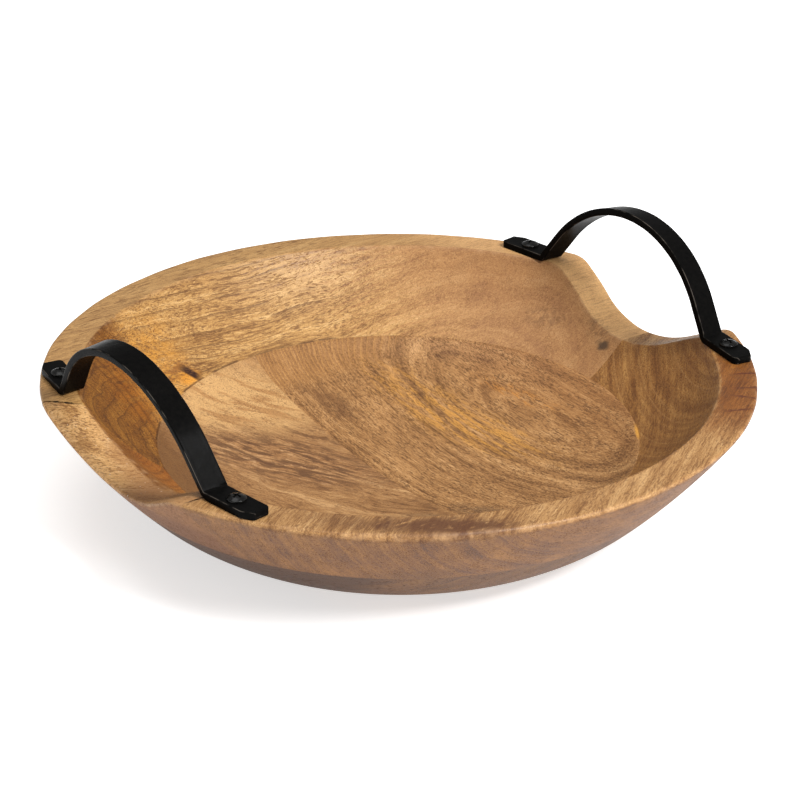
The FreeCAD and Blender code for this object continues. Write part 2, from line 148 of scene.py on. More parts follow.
def grid_faces(columns, rows, close_rows=False, close_columns=False):
    """Quads between neighbouring points of a grid whose points are numbered column by column."""
    faces = []
    for column in range(columns if close_columns else columns - 1):
        here, there = column * rows, (column + 1) % columns * rows
        for row in range(rows if close_rows else rows - 1):
            above = (row + 1) % rows
            faces.append((here + row, there + row, there + above, here + above))
    return faces


def arc_points(start, end, radius):
    """Points on the counterclockwise arc from start to end, shorter than half a turn."""
    start, end = np.array(start, float), np.array(end, float)
    chord = end - start
    length = np.hypot(*chord)
    to_left = np.array([-chord[1], chord[0]]) / length
    centre = (start + end) / 2 + to_left * math.sqrt(radius ** 2 - (length / 2) ** 2)
    first, last = [math.atan2(*(point - centre)[::-1]) for point in (start, end)]
    angles = np.linspace(first, last + (2 * math.pi if last < first else 0), ARC_POINTS)
    return centre + radius * np.stack([np.cos(angles), np.sin(angles)], 1)


OUTER = np.vstack([arc_points((FOOT_RADIUS, 0), BILGE, LOWER_OUTER_ARC)[:-1],
                   arc_points(BILGE, (RIM_RADIUS, RIM_Z), UPPER_OUTER_ARC)])
WALL = arc_points((GLUE_INNER_RADIUS, GLUE_Z), (RIM_INNER_RADIUS, RIM_Z), WALL_ARC)
COVE = arc_points(COVE_FOOT, (GLUE_INNER_RADIUS, GLUE_Z), COVE_ARC)


def outer_radius(z):
    return np.interp(z, OUTER[:, 1], OUTER[:, 0])


def wall_radius(z):
    return np.interp(z, WALL[:, 1], WALL[:, 0])


def floor_height(radius):
    """Dished floor and the cove that turns up into the wall."""
    dish = FLOOR_Z + FLOOR_ARC - np.sqrt(FLOOR_ARC ** 2 - np.minimum(radius, COVE_FOOT[0]) ** 2)
    return np.where(radius < COVE_FOOT[0], dish, np.interp(radius, COVE[:, 0], COVE[:, 1]))


def top_height(y):
    """Rim, lowered where the scoops cross it."""
    y = np.abs(y)
    flank_y = SCOOP_ARC * math.sin(SCOOP_SLOPE)
    flank_z = RIM_Z - SCOOP_DEPTH + SCOOP_ARC * (1 - math.cos(SCOOP_SLOPE))
    shoulder_z = RIM_Z - SCOOP_SHOULDER * (1 - math.cos(SCOOP_SLOPE))
    shoulder_y = flank_y + (shoulder_z - flank_z) / math.tan(SCOOP_SLOPE)
    end_y = shoulder_y + SCOOP_SHOULDER * math.sin(SCOOP_SLOPE)
    bottom = RIM_Z - SCOOP_DEPTH + SCOOP_ARC - np.sqrt(SCOOP_ARC ** 2 - np.minimum(y, flank_y) ** 2)
    flank = flank_z + (y - flank_y) * math.tan(SCOOP_SLOPE)
    left = np.clip(end_y - y, 0, SCOOP_SHOULDER)
    shoulder = RIM_Z - SCOOP_SHOULDER + np.sqrt(SCOOP_SHOULDER ** 2 - left ** 2)
    return np.where(y < flank_y, bottom, np.where(y < shoulder_y, flank, shoulder))


def wave(angle, *terms):
    """Sum of sines of a plan angle; each term is (turns, size, phase)."""
    return sum(size * np.sin(turns * angle + phase) for turns, size, phase in terms)


# --- rim blocks ------------------------------------------------------------------------------

OUTER_ROWS, EDGE_ROWS, TOP_ROWS, WALL_ROWS = 22, 7, 15, 30
ZONES = np.cumsum([0, OUTER_ROWS, EDGE_ROWS, TOP_ROWS, EDGE_ROWS, WALL_ROWS])
ROW_SHIFTS = (0, 0.5, 0.5, 0.5, 1)
COLUMN_STEP = 1.5
END_STEP = 0.3
START_RADIUS = 150.0
EDGE_ROUND = 1.45

# The outer edge is rounder at the stain on the front rim, the inner edge at the left scoop.
WORN_ROUND = 1.2
WORN_ANGLE = math.radians(-120)
SOFT_ROUND = 9.0
SOFT_ANGLE = math.radians(188)


def unit(vectors):
    return vectors / np.linalg.norm(vectors, axis=-1, keepdims=True)


def rounded(corner, down, level, radius, share):
    """Point of the arc that rounds a corner between two directions, share 0 at the first."""
    half = np.arccos(np.clip((down * level).sum(-1), -1, 1)) / 2
    centre = corner + unit(down + level) * (radius / np.sin(half))[..., None]
    start = corner + down * (radius / np.tan(half))[..., None] - centre
    end = corner + level * (radius / np.tan(half))[..., None] - centre
    sweep = math.pi - 2 * half
    mixed = start * (np.sin((1 - share) * sweep) / np.sin(sweep))[..., None] \
        + end * (np.sin(share * sweep) / np.sin(sweep))[..., None]
    return centre + mixed


def edge_corner(angle, radius_at, toward_middle):
    """Corner of the section at a plan angle, and the directions down the side and over the top."""
    z = np.full_like(angle, RIM_Z)
    for _ in range(8):
        z = top_height(radius_at(z) * np.sin(angle))
    radius = radius_at(z)
    step = 0.5
    fall = (radius - radius_at(z - step)) / step
    rise = (top_height((radius + toward_middle * step) * np.sin(angle)) - z) / step
    down = unit(np.stack([-fall, -np.ones_like(z)], -1))
    level = unit(np.stack([np.full_like(z, toward_middle), rise], -1))
    return np.stack([radius, z], -1), down, level


def angle_between(angle, other):
    return (angle - other + math.pi) % (2 * math.pi) - math.pi


def section(angle, share, zone):
    """Radius and height of one zone of the rim section at the given plan angles."""
    hand = wave(angle, (7, 0.10, 0.4), (17, 0.07, 2.0), (41, 0.05, 1.1))
    worn = WORN_ROUND * np.exp(-(angle_between(angle, WORN_ANGLE) / 0.3) ** 2)
    soft = SOFT_ROUND * np.exp(-(angle_between(angle, SOFT_ANGLE) / 0.24) ** 2)
    outer = edge_corner(angle, outer_radius, -1)
    inner = edge_corner(angle, wall_radius, 1)
    outer_round = EDGE_ROUND + hand + worn
    inner_round = EDGE_ROUND + 0.2 - hand + soft
    first, last = np.zeros_like(angle), np.ones_like(angle)
    if zone == 0:
        top = rounded(*outer, outer_round, first)[..., 1]
        z = GLUE_Z + (top - GLUE_Z) * share
        return np.stack([outer_radius(z), z], -1)
    if zone == 1:
        return rounded(*outer, outer_round, share)
    if zone == 2:
        start = rounded(*outer, outer_round, last)[..., 0]
        end = rounded(*inner, inner_round, last)[..., 0]
        radius = start + (end - start) * share
        return np.stack([radius, top_height(radius * np.sin(angle))], -1)
    if zone == 3:
        return rounded(*inner, inner_round, 1 - share)
    top = rounded(*inner, inner_round, first)[..., 1]
    z = top + (GLUE_Z - top) * share
    return np.stack([wall_radius(z), z], -1)


def joint_angle(joint, radius):
    """Plan angle at which a joint line crosses the circle of each radius."""
    point, direction = joint
    along = point @ direction
    reach = -along + np.sqrt(along ** 2 - point @ point + radius ** 2)
    x, y = (point[i] + reach * direction[i] for i in (0, 1))
    return np.arctan2(y, x)


def rim_block(name, start, end, gaps, material):
    """Board of the rim layer, from one joint line counterclockwise to the next."""
    rows = ZONES[-1]
    turn = (joint_angle(end, START_RADIUS) - joint_angle(start, START_RADIUS)) % (2 * math.pi)
    columns = int(turn * RIM_RADIUS / COLUMN_STEP)
    share = np.linspace(0, 1, columns)
    share = np.concatenate([[0, END_STEP / columns], share[1:-1], [1 - END_STEP / columns, 1]])
    columns = len(share)
    radius = np.full((columns, rows), START_RADIUS)
    height = np.zeros_like(radius)
    for _ in range(5):
        first = joint_angle(start, radius)
        last = first + (joint_angle(end, radius) - first) % (2 * math.pi)
        angle = first + (last - first) * share[:, None]
        for zone in range(5):
            here = slice(ZONES[zone], ZONES[zone + 1])
            count = ZONES[zone + 1] - ZONES[zone]
            steps = (np.arange(count) + ROW_SHIFTS[zone]) / count
            place = section(angle[:, here], np.broadcast_to(steps, angle[:, here].shape), zone)
            radius[:, here], height[:, here] = place[..., 0], place[..., 1]
    points = np.stack([radius * np.cos(angle), radius * np.sin(angle), height], -1)
    for column, joint, gap in ((0, start, gaps[0]), (-1, end, gaps[1])):
        if gap:
            away = np.array([-joint[1][1], joint[1][0]]) * (1 if column == 0 else -1)
            points[column, :, :2] += gap(radius[column], height[column])[:, None] * away

    faces = grid_faces(columns, rows, close_rows=True)
    faces += [tuple(range(rows)), tuple(range(columns * rows - 1, (columns - 1) * rows - 1, -1))]
    row = np.arange(rows)
    outside = np.clip((ZONES[1] + 3 - row) / 3, 0, 1)
    edge = np.maximum(np.exp(-((row - ZONES[1] - 3) / 3.0) ** 2),
                      np.exp(-((row - ZONES[3] - 3) / 3.0) ** 2))
    wall = np.clip((row - ZONES[3] + 1) / 2, 0, 1)
    marks = {"outside": np.tile(outside, columns), "edge": np.tile(edge, columns),
             "wall": np.tile(wall, columns)}
    make_piece(name, points.reshape(-1, 3), faces, material, marks)


def crack(inner, outer, width, roughness):
    """Open joint at the top of the rim between two radii."""
    def gap(radius, height):
        inside = np.clip(np.minimum(radius - inner, outer - radius) / 1.5, 0, 1)
        ragged = 1 + roughness * np.sin(radius * 2.9) * np.sin(radius * 1.3 + 1)
        return width * inside * ragged * (height > RIM_Z - 4)
    return gap


# --- base planks -----------------------------------------------------------------------------

FLOOR_ROWS, BASE_ROWS, UNDER_ROWS = 64, 30, 6


def base_plank(name, side, material):
    """Board of the base layer: a fan of radial sections about the middle of the base joint."""
    columns = 260
    middle = np.array([BASE_JOINT_X, 0.0])
    turn = np.linspace(-math.pi / 2, math.pi / 2, columns) + (0 if side > 0 else math.pi)
    direction = np.stack([np.cos(turn), np.sin(turn)], -1)
    along = direction @ middle

    def ray_point(radius):
        reach = -along + np.sqrt(along ** 2 - middle @ middle + radius ** 2)
        return middle + direction * reach[:, None]

    lines = []
    wall_foot = ray_point(GLUE_INNER_RADIUS)
    for share in np.arange(1, FLOOR_ROWS + 1) / FLOOR_ROWS:
        place = middle + (wall_foot - middle) * share
        lines.append(np.column_stack([place, floor_height(np.hypot(*place.T))]))
    foot_edge = outer_radius(FOOT_ROUND) - FOOT_RADIUS
    for z in GLUE_Z + (FOOT_ROUND - GLUE_Z) * np.linspace(0, 1, BASE_ROWS):
        lines.append(np.column_stack([ray_point(outer_radius(z)), np.full(columns, z)]))
    for angle in np.radians([30, 60, 90]):
        radius = FOOT_RADIUS - 0.5 * FOOT_ROUND + (foot_edge + 0.5 * FOOT_ROUND) * math.cos(angle)
        z = FOOT_ROUND * (1 - math.sin(angle))
        lines.append(np.column_stack([ray_point(radius), np.full(columns, z)]))
    sole = ray_point(FOOT_RADIUS - 0.5 * FOOT_ROUND)
    for share in np.arange(1, UNDER_ROWS)[::-1] / UNDER_ROWS:
        place = middle + (sole - middle) * share
        lines.append(np.column_stack([place, np.zeros(columns)]))
    rows = len(lines)
    points = np.stack(lines, 1).reshape(-1, 3)
    top, bottom = len(points), len(points) + 1
    points = np.vstack([points, [*middle, floor_height(np.hypot(*middle))], [*middle, 0]])
    faces = grid_faces(columns, rows)
    for column in range(columns - 1):
        here, there = column * rows, (column + 1) * rows
        faces.append((top, there, here))
        faces.append((bottom, here + rows - 1, there + rows - 1))
    last = (columns - 1) * rows
    faces.append((top, *range(rows), bottom, *range(last + rows - 1, last - 1, -1)))
    outside = np.append(np.tile(np.arange(rows) >= FLOOR_ROWS, columns), [0, 1])
    marks = {"outside": outside, "edge": np.zeros(len(points)), "wall": np.zeros(len(points))}
    make_piece(name, points, faces, material, marks)


# --- strap handles ---------------------------------------------------------------------------

FACE_STEPS, FLANK_STEPS = 9, 3
HAMMER_DEPTH = 0.06


def lean_point(y, z):
    """Point of the bar's middle line, in the arch's leaning plane."""
    above = z - STRAP_THICKNESS / 2
    return np.array([above * math.sin(STRAP_LEAN), y, z - above * (1 - math.cos(STRAP_LEAN))])


def strap_stations(end):
    """Sections of half a bar from the tip of one foot to the crown.

    Each is (middle, across, outward, side limits across, inset all round)."""
    half = STRAP_THICKNESS / 2
    arc = STRAP_ARC - half
    arch_y, arch_z = arc * math.sin(STRAP_SLOPE), STRAP_CROWN - STRAP_ARC + arc * math.cos(STRAP_SLOPE)
    corner_y = arch_y + (arch_z - half) / math.tan(STRAP_SLOPE)
    bend_y = corner_y + STRAP_BEND * math.tan(STRAP_SLOPE / 2)
    screw = (high("screw_right_rear") + low("screw_right_rear")) / 2
    turn = math.atan2(STRAP_OFFSET - screw[0], screw[1] - bend_y)
    up = np.array([0, 0, 1.0])
    along = np.array([-math.sin(turn), end * math.cos(turn), 0])
    across_foot = np.array([math.cos(turn), end * math.sin(turn), 0])
    across_leg = np.array([math.cos(STRAP_LEAN), 0, -math.sin(STRAP_LEAN)])
    start = np.array([0, end * bend_y, half])
    wide = STRAP_WIDTH / 2

    def limits(reach):
        """The foot narrows where its corners are clipped."""
        outer = max(0, (reach - FOOT_LENGTH + FOOT_CLIP_ALONG) / FOOT_CLIP_ALONG) * FOOT_CLIP_ACROSS
        inner = max(0, reach - FOOT_LENGTH + FOOT_INNER_CLIP)
        return -wide + inner, wide - outer

    def tilted(angle, lean=STRAP_LEAN):
        """Outward direction of the bar where it slopes by an angle."""
        return unit(np.array([math.cos(angle) * math.sin(lean), end * math.sin(angle),
                              math.cos(angle) * math.cos(lean)]))

    stations = []
    for angle in ROUND_STEPS:
        reach = FOOT_LENGTH - STRAP_CORNER * (1 - math.cos(angle))
        inset = STRAP_CORNER * (1 - math.sin(angle))
        stations.append((start + along * reach, across_foot, up, limits(reach), inset))
    for reach in np.linspace(FOOT_LENGTH - STRAP_CORNER - 0.5, 0, 30)[:-1]:
        stations.append((start + along * reach, across_foot, up, limits(reach), 0))
    for share in np.linspace(0, 1, 9):
        angle = share * STRAP_SLOPE
        eased = share * share * (3 - 2 * share)
        middle = lean_point(end * (bend_y - STRAP_BEND * math.sin(angle)),
                            half + STRAP_BEND * (1 - math.cos(angle)))
        across = unit(across_foot * (1 - eased) + across_leg * eased)
        outward = tilted(angle, eased * STRAP_LEAN)
        outward = unit(outward - across * (outward @ across))
        stations.append((middle, across, outward, (-wide, wide), 0))
    leg_y = bend_y - STRAP_BEND * math.sin(STRAP_SLOPE)
    leg_z = half + STRAP_BEND * (1 - math.cos(STRAP_SLOPE))
    for share in np.linspace(0, 1, 12)[1:]:
        middle = lean_point(end * (leg_y + (arch_y - leg_y) * share), leg_z + (arch_z - leg_z) * share)
        stations.append((middle, across_leg, tilted(STRAP_SLOPE), (-wide, wide), 0))
    for angle in np.linspace(STRAP_SLOPE, 0, 56)[1:]:
        middle = lean_point(end * arc * math.sin(angle), STRAP_CROWN - STRAP_ARC + arc * math.cos(angle))
        stations.append((middle, across_leg, tilted(angle), (-wide, wide), 0))
    return stations


def strap_section():
    """Outline of the bar's section: side and level from -1 to 1, offset in the corner, and a corner mark
    for wear and a painted highlight.
    """
    outline = []
    corners = ((1, 1), (-1, 1), (-1, -1), (1, -1))
    for index, (side, level) in enumerate(corners):
        for step in ROUND_STEPS:
            angle = math.radians(90 * index) + step
            outline.append((side, level, math.cos(angle) - side, math.sin(angle) - level,
                            0.1 + 0.9 * math.sin(2 * step)))
        next_side, next_level = corners[(index + 1) % 4]
        count = FLANK_STEPS if index % 2 else FACE_STEPS
        for share in np.arange(1, count) / count:
            outline.append((side + (next_side - side) * share, level + (next_level - level) * share,
                            0, 0, 0))
    return outline


def strap(side, material):
    stations = strap_stations(-1) + strap_stations(1)[::-1][1:]
    sections = strap_section()
    points, edge, flank, run = [], [], [], []
    travelled = 0.0
    before = stations[0][0]
    for middle, across, outward, (inner, outer), inset in stations:
        travelled += np.linalg.norm(middle - before)
        before = middle
        width = (outer - inner) / 2 - inset
        rise = STRAP_THICKNESS / 2 - inset
        for place, level, corner_across, corner_up, edge_wear_and_highlight in sections:
            corner = STRAP_CORNER * (1 + 0.35 * noise.noise(Vector((travelled / 6, place, 3 + side))))
            aside = (outer + inner) / 2 + place * width + corner_across * corner
            point = middle + across * aside + outward * (level * rise + corner_up * corner)
            beaten = noise.noise(Vector(point) / 9 + Vector((side * 7, 0, 0)))
            beaten += 0.5 * noise.noise(Vector(point) / 3.5)
            if abs(level) == 1 and not edge_wear_and_highlight and abs(place) < 0.95:
                point = point - outward * level * HAMMER_DEPTH * (1 + beaten)
            points.append(point)
            # The edge mark carries rubbed wear and a painted highlight.
            edge.append(edge_wear_and_highlight)
            flank.append(abs(place) == 1 and abs(level) < 1)
            run.append(travelled)
    columns, rows = len(stations), len(sections)
    faces = grid_faces(columns, rows, close_rows=True)
    faces += [tuple(range(rows)), tuple(range(columns * rows - 1, (columns - 1) * rows - 1, -1))]
    points = np.array(points)
    if side < 0:
        points[:, :2] *= -1
    points += [side * STRAP_OFFSET, 0, RIM_Z]
    name = f"strap_handle_{'right' if side > 0 else 'left'}"
    marks = {"edge": edge, "flank": flank, "run": run}
    make_piece(name, points, faces, material, marks, crease=50)


# --- screws ----------------------------------------------------------------------------------

SCREW_COLUMNS = 128


def dome_height(radius):
    dome_rise = HEAD_HEIGHT - HEAD_RIM
    dome = (HEAD_RADIUS ** 2 + dome_rise ** 2) / (2 * dome_rise)
    return HEAD_HEIGHT - dome + np.sqrt(dome ** 2 - radius ** 2)


def screw(name, turn, material):
    """Pan head with a cross recess and a threaded shank, lathed about the middle of its node."""
    columns = SCREW_COLUMNS
    around = np.linspace(0, 2 * math.pi, columns, endpoint=False)
    rings, worn = [], []

    def recess(radius):
        """Depth of the cross, which gets shallower outwards."""
        x, y = np.abs(radius * np.cos(around)), np.abs(radius * np.sin(around))
        outside = np.maximum(np.maximum(x, y) - RECESS_REACH, np.minimum(x, y) - RECESS_HALF)
        return RECESS_DEPTH * (1 - np.clip(outside / RECESS_SOFT + 0.5, 0, 1)) * (1 - radius / 9)

    flat = HEAD_RADIUS - HEAD_ROUND
    # The edge mark rises over the dome to the rounded rim, where rubbed paint and a painted highlight
    # are laid.
    for radius in np.linspace(0.1, flat, 38):
        rings.append((np.full(columns, radius), dome_height(radius) - recess(radius)))
        worn.append(radius / HEAD_RADIUS * 0.4)
    for angle in np.radians([25, 50, 75, 90]):
        rings.append((np.full(columns, flat + HEAD_ROUND * math.sin(angle)),
                      np.full(columns, dome_height(flat) - HEAD_ROUND * (1 - math.cos(angle)))))
        worn.append(1)
    for radius, z in ((HEAD_RADIUS, 0.15), (HEAD_RADIUS - 0.15, 0), (SHANK_RADIUS, 0)):
        rings.append((np.full(columns, radius), np.full(columns, z)))
        worn.append(0)
    for depth in np.arange(0.3, SHANK_LENGTH - 0.1, THREAD_STEP):
        taper = min(1, (SHANK_LENGTH - depth) / SHANK_POINT)
        cycle = (depth / THREAD_PITCH + around / (2 * math.pi)) % 1
        ridge = THREAD_DEPTH * np.abs(2 * cycle - 1)
        rings.append((np.maximum(SHANK_RADIUS - ridge, 0.2) * taper + 0.02, np.full(columns, -depth)))
        worn.append(0)
    rows = len(rings)
    points = np.stack([np.column_stack([radius * np.cos(around), radius * np.sin(around), z])
                       for radius, z in rings], 1).reshape(-1, 3)
    points = np.vstack([points, [0, 0, HEAD_HEIGHT - RECESS_DEPTH], [0, 0, -SHANK_LENGTH]])
    faces = grid_faces(columns, rows, close_columns=True)
    top, tip = columns * rows, columns * rows + 1
    for column in range(columns):
        here, there = column * rows, (column + 1) % columns * rows
        faces.append((top, there, here))
        faces.append((tip, here + rows - 1, there + rows - 1))
    cosine, sine = math.cos(math.radians(turn)), math.sin(math.radians(turn))
    points[:, :2] = points[:, :2] @ np.array([[cosine, sine], [-sine, cosine]])
    middle = (low(name) + high(name)) / 2
    points += [middle[0], middle[1], high(name)[2] - HEAD_HEIGHT]
    marks = {"edge": np.append(np.tile(worn, columns), [0, 0])}
    make_piece(name, points, faces, material, marks, crease=35)


# --- node materials --------------------------------------------------------------------------

def srgb(red, green, blue):
    """Linear colour from the eight-bit values of a paint chart."""
    def linear(value):
        value /= 255
        return value / 12.92 if value < 0.04045 else ((value + 0.055) / 1.055) ** 2.4
    return (linear(red), linear(green), linear(blue), 1)


def operation(name, swapped=False):
    """Method that puts a Math node between a field and a number or another field."""
    def method(self, other=0.0):
        values = (other, self) if swapped else (self, other)
        return self.paint.calc(name, *values)
    return method


class Field:
    """A quantity that varies over the surface, held as a node socket, with arithmetic."""

    def __init__(self, paint, socket):
        self.paint, self.socket = paint, socket

    __add__ = operation("ADD")
    __sub__ = operation("SUBTRACT")
    __rsub__ = operation("SUBTRACT", swapped=True)
    __mul__ = operation("MULTIPLY")
    __truediv__ = operation("DIVIDE")
    __pow__ = operation("POWER")
    absolute = operation("ABSOLUTE")
    sqrt = operation("SQRT")
    fraction = operation("FRACT")
    at_least = operation("MAXIMUM")

    def step(self, start, end):
        """0 before start, 1 past end, smooth between; start may be the larger."""
        node = self.paint.node("ShaderNodeMapRange", interpolation_type="SMOOTHSTEP")
        falling = start > end
        self.paint.connect(self, node.inputs["Value"])
        node.inputs["From Min"].default_value = min(start, end)
        node.inputs["From Max"].default_value = max(start, end)
        node.inputs["To Min"].default_value = 1 if falling else 0
        node.inputs["To Max"].default_value = 0 if falling else 1
        return Field(self.paint, node.outputs[0])


class Paint:
    """Builds one node material."""

    def __init__(self, name):
        self.material = bpy.data.materials.new(name)
        self.material.use_nodes = True
        self.tree = self.material.node_tree
        self.shader = self.tree.nodes["Principled BSDF"]
        place = self.node("ShaderNodeTexCoord").outputs["Object"]
        scale = self.node("ShaderNodeVectorMath", operation="SCALE")
        self.tree.links.new(place, scale.inputs[0])
        scale.inputs["Scale"].default_value = 1 / MM
        split = self.node("ShaderNodeSeparateXYZ")
        self.tree.links.new(scale.outputs[0], split.inputs[0])
        self.x, self.y, self.z = (Field(self, socket) for socket in split.outputs)

    def node(self, kind, **settings):
        made = self.tree.nodes.new(kind)
        for key, value in settings.items():
            setattr(made, key, value)
        return made

    def connect(self, value, socket):
        if isinstance(value, Field):
            self.tree.links.new(value.socket, socket)
        else:
            socket.default_value = value

    def calc(self, operation, *values):
        made = self.node("ShaderNodeMath", operation=operation)
        for value, socket in zip(values, made.inputs):
            self.connect(value, socket)
        return Field(self, made.outputs[0])

    def mark(self, name):
        made = self.node("ShaderNodeAttribute", attribute_name=name)
        return Field(self, made.outputs["Fac"])

    def join(self, *values):
        made = self.node("ShaderNodeCombineXYZ")
        for value, socket in zip(values, made.inputs):
            self.connect(value, socket)
        return Field(self, made.outputs[0])

    def noise(self, *place, detail=2, rough=0.5):
        """Cloud noise from 0 to 1 at a place of one or three coordinates."""
        made = self.node("ShaderNodeTexNoise", noise_dimensions="1D" if len(place) == 1 else "3D")
        if len(place) == 1:
            self.connect(place[0], made.inputs["W"])
        else:
            self.connect(self.join(*place), made.inputs["Vector"])
        made.inputs["Scale"].default_value = 1
        made.inputs["Detail"].default_value = detail
        made.inputs["Roughness"].default_value = rough
        return Field(self, made.outputs[0])

    def blotches(self, size, detail=2, rough=0.5):
        """Noise without a direction, in patches of about a size in millimetres."""
        return self.noise(self.x / size, self.y / size, self.z / size, detail=detail, rough=rough)

    def ramp(self, value, *stops):
        """Starts the colour from a value; each stop is (position, colour)."""
        made = self.node("ShaderNodeValToRGB")
        self.connect(value, made.inputs[0])
        elements = made.color_ramp.elements
        while len(elements) < len(stops):
            elements.new(0.5)
        for element, (position, colour) in zip(elements, stops):
            element.position = position
            element.color = colour
        self.colour = Field(self, made.outputs[0])

    def stain(self, share, tint, blend="MIX"):
        """Lays a tint over the colour so far, by share."""
        made = self.node("ShaderNodeMix", data_type="RGBA", blend_type=blend, clamp_factor=True)
        self.connect(share, made.inputs[0])
        self.connect(self.colour, made.inputs[6])
        self.connect(tint, made.inputs[7])
        self.colour = Field(self, made.outputs[2])

    def bump(self, height, distance):
        made = self.node("ShaderNodeBump")
        self.connect(height, made.inputs["Height"])
        made.inputs["Distance"].default_value = distance * MM
        return Field(self, made.outputs[0])

    def finish(self, roughness, normal, **constants):
        self.connect(self.colour, self.shader.inputs["Base Color"])
        self.connect(roughness, self.shader.inputs["Roughness"])
        self.connect(normal, self.shader.inputs["Normal"])
        for key, value in constants.items():
            self.shader.inputs[key.replace("_", " ")].default_value = value
        return self.material


class Timber(Paint):
    """Board cut from a log: growth rings about a pith line, streaks and pores along the grain.

    grain is the plan angle of the log and pith a point on its middle line."""

    def __init__(self, name, grain, pith, ring_width, wobble, seed, waver=(90, 35)):
        super().__init__(name)
        self.seed = seed
        turn = math.radians(grain)
        self.along = self.x * math.cos(turn) + self.y * math.sin(turn)
        self.across = self.y * math.cos(turn) - self.x * math.sin(turn)
        pith_across = pith[1] * math.cos(turn) - pith[0] * math.sin(turn)

        def swaying(long, wide):
            return self.noise(self.along / long + seed, self.across / wide, self.z / wide) - 0.5

        long, wide = waver
        self.drift = swaying(long, wide) * (wide * 0.5 * wobble) \
            + swaying(long / 4, wide / 4) * (wide * 0.09 * wobble)
        side = self.across - pith_across
        rise = self.z - pith[2]
        self.ring = ((side * side + rise * rise).sqrt() + self.drift) / ring_width
        self.bent = self.across + self.drift
        self.deep = self.z + self.drift * 0.5

    def stretched(self, long, wide, shift=0.0, detail=3, rough=0.6):
        """Noise drawn out along the grain, about long by wide millimetres."""
        return self.noise(self.along / long + self.seed + shift, self.bent / wide, self.deep / wide,
                          detail=detail, rough=rough)

    def figure(self, rings, streaks, fibres):
        """Tone of the bare wood about 0.5: growth rings, long streaks, fine fibres and patches."""
        years = self.noise(self.ring * 0.45 + self.seed, detail=1) - 0.5
        lines = self.noise(self.ring * 1.7 + self.seed * 2, rough=0.6) - 0.5
        long_streaks = self.stretched(46, 1.3) - 0.5
        fine = self.stretched(7, 0.5, 3.1, detail=2, rough=0.7) - 0.5
        patches = self.stretched(34, 13, 7.7) - 0.5
        return (years * 0.5 + lines * 0.5) * rings + long_streaks * (0.62 * streaks) \
            + fine * (0.9 * fibres) + patches * 0.6 + 0.5

    def late_wood(self, sharp):
        """Thin dark line that closes each year."""
        return self.ring.fraction() ** sharp

    def pores(self, long, wide, start, end):
        """Short dark dashes along the grain, denser in some places than in others."""
        clouds = self.stretched(16, 6, 1.3, detail=2)
        dash = self.stretched(long, wide, 5.2, detail=1)
        return (dash + (clouds - 0.5) * 0.4).step(start, end)

    def turned(self, x, y, turn):
        """Distances ahead and aside of a place in plan, along a turned direction."""
        cosine, sine = math.cos(math.radians(turn)), math.sin(math.radians(turn))
        return ((self.x - x) * cosine + (self.y - y) * sine,
                (self.y - y) * cosine - (self.x - x) * sine)

    def spot(self, x, y, long, wide, turn, ragged=0.35, z=None, deep=None):
        """Soft patch in plan, 1 in its middle and 0 outside, long along the turned direction."""
        ahead, aside = self.turned(x, y, turn)
        ahead, aside = ahead / long, aside / wide
        distance = ahead * ahead + aside * aside
        if z is not None:
            rise = (self.z - z) / deep
            distance = distance + rise * rise
        torn = (self.stretched(16, 5, 2.4) - 0.5) * (2 * ragged)
        return (distance.sqrt() + torn).step(1.15, 0.35)

    def vein(self, start, end, width, wander):
        """Thin wavering line in plan between two points, uneven in width."""
        reach = math.hypot(end[0] - start[0], end[1] - start[1])
        turn = math.degrees(math.atan2(end[1] - start[1], end[0] - start[0]))
        ahead, aside = self.turned(*start, turn)
        sway = (self.noise(ahead / 14 + start[0], detail=3) - 0.5) * wander
        swell = self.noise(ahead / 5 + start[1]) * (2 * width)
        inside = ahead.step(-3, 5) * ahead.step(reach + 3, reach - 5)
        return (swell - (aside + sway).absolute()).step(0, width * 0.5) * inside


# Outside tints: a drier finish, darkened with painted shade; the lower one, on the planks where the wall
# faces the floor, is darker.
UPPER_OUTSIDE_DRY_AND_SHADE = srgb(182, 160, 115)
LOWER_OUTSIDE_DRY_AND_SHADE = srgb(154, 135, 94)
# Painted shade, multiplied over the inner walls.
WALL_SHADE_TINT = srgb(168, 152, 134)
LEFT_WALL_SHADE_TINT = srgb(186, 158, 98)
GLUE = srgb(222, 160, 66)


def wood_finish(timber, tone, pores, wall_shade_tint=WALL_SHADE_TINT, wall_shade_share=0.0,
                outside_dry_and_shade_tint=UPPER_OUTSIDE_DRY_AND_SHADE):
    """Oiled wood: darker on the inner wall with painted shade, drier and darker outside with painted
    shade, paler on the edges with wear and a painted highlight.
    """
    outside = timber.mark("outside")
    speckle = timber.blotches(0.7)
    timber.stain((speckle - 0.4) * 1.1, srgb(132, 98, 66), "MULTIPLY")
    # Painted shade on the inner wall.
    timber.stain(timber.mark("wall") * wall_shade_share, wall_shade_tint, "MULTIPLY")
    # Drier finish and painted shade on the outside.
    timber.stain(outside, outside_dry_and_shade_tint, "MULTIPLY")
    # Paler edges: partly rubbed wear, partly a painted highlight.
    worn = timber.mark("edge") * timber.blotches(5, detail=3).step(0.42, 0.65)
    timber.stain(worn * 0.3, srgb(206, 164, 118))
    roughness = (tone - 0.5) * 0.1 + pores * 0.15 + outside * 0.1 + 0.48
    height = tone * 0.25 - pores * 0.6 + speckle * 0.1
    return timber.finish(roughness, timber.bump(height, 0.07), IOR=1.42)


def seam(timber):
    """Dark glue line at the level joint, broken here and there."""
    near = (timber.z - GLUE_Z).absolute().step(0.7, 0.35) * timber.x.step(70, 20)
    return near * timber.blotches(9, detail=3).step(0.4, 0.58)


